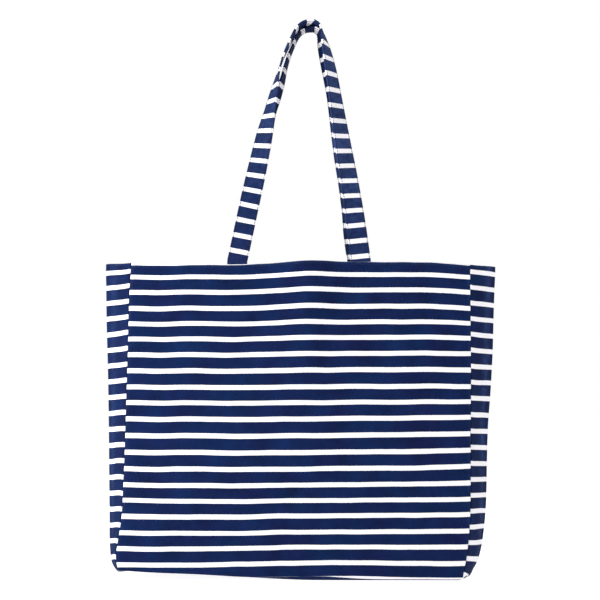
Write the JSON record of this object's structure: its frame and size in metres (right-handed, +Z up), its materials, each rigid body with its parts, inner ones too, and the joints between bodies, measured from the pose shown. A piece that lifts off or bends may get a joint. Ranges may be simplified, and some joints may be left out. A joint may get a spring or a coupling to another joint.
{
  "type": "canvas tote bag",
  "caption": "Striped canvas tote bag standing on its base, half-open mouth, folded side gussets and two shoulder straps held up together.",
  "frame": {"origin": "centre of the underside of the base panel, which the bag stands on", "axes": "+X to the bag's right as its front is looked at, +Y to its back, +Z up"},
  "size_m": [0.4926, 0.1, 0.7027],
  "materials": {
    "striped_canvas": "matt woven cotton canvas, navy with white stripes",
    "seam_tape": "matt woven cotton tape, navy"
  },
  "bodies": {
    "base": {"base_panel": "striped_canvas", "left_gusset": "striped_canvas", "right_gusset": "striped_canvas", "left_rim_facing": "striped_canvas", "right_rim_facing": "striped_canvas", "base_front_seam_binding": "seam_tape", "base_back_seam_binding": "seam_tape", "base_left_seam_binding": "seam_tape", "base_right_seam_binding": "seam_tape"},
    "front": {"front_panel": "striped_canvas", "front_rim_facing": "striped_canvas", "front_left_seam_binding": "seam_tape", "front_right_seam_binding": "seam_tape", "front_left_strap_end": "striped_canvas", "front_right_strap_end": "striped_canvas"},
    "back": {"back_panel": "striped_canvas", "back_rim_facing": "striped_canvas", "back_left_seam_binding": "seam_tape", "back_right_seam_binding": "seam_tape", "back_left_strap_end": "striped_canvas", "back_right_strap_end": "striped_canvas"},
    "front_handle": {"front_handle": "striped_canvas"},
    "back_handle": {"back_handle": "striped_canvas"}
  },
  "joints": [
    {"name": "front_panel_tilt", "type": "hinge", "parent": "base", "child": "front", "pos_m": [0, -0.05, 0], "axis": [1, 0, 0], "range_deg": [0, 2]},
    {"name": "back_panel_tilt", "type": "hinge", "parent": "base", "child": "back", "pos_m": [0, 0.05, 0], "axis": [-1, 0, 0], "range_deg": [0, 2]},
    {"name": "front_handle_swing", "type": "hinge", "parent": "front", "child": "front_handle", "pos_m": [0, -0.03503, 0.38846], "axis": [1, 0, 0], "range_deg": [0, 170]},
    {"name": "back_handle_swing", "type": "hinge", "parent": "back", "child": "back_handle", "pos_m": [0, 0.03503, 0.38846], "axis": [-1, 0, 0], "range_deg": [0, 170]}
  ]
}
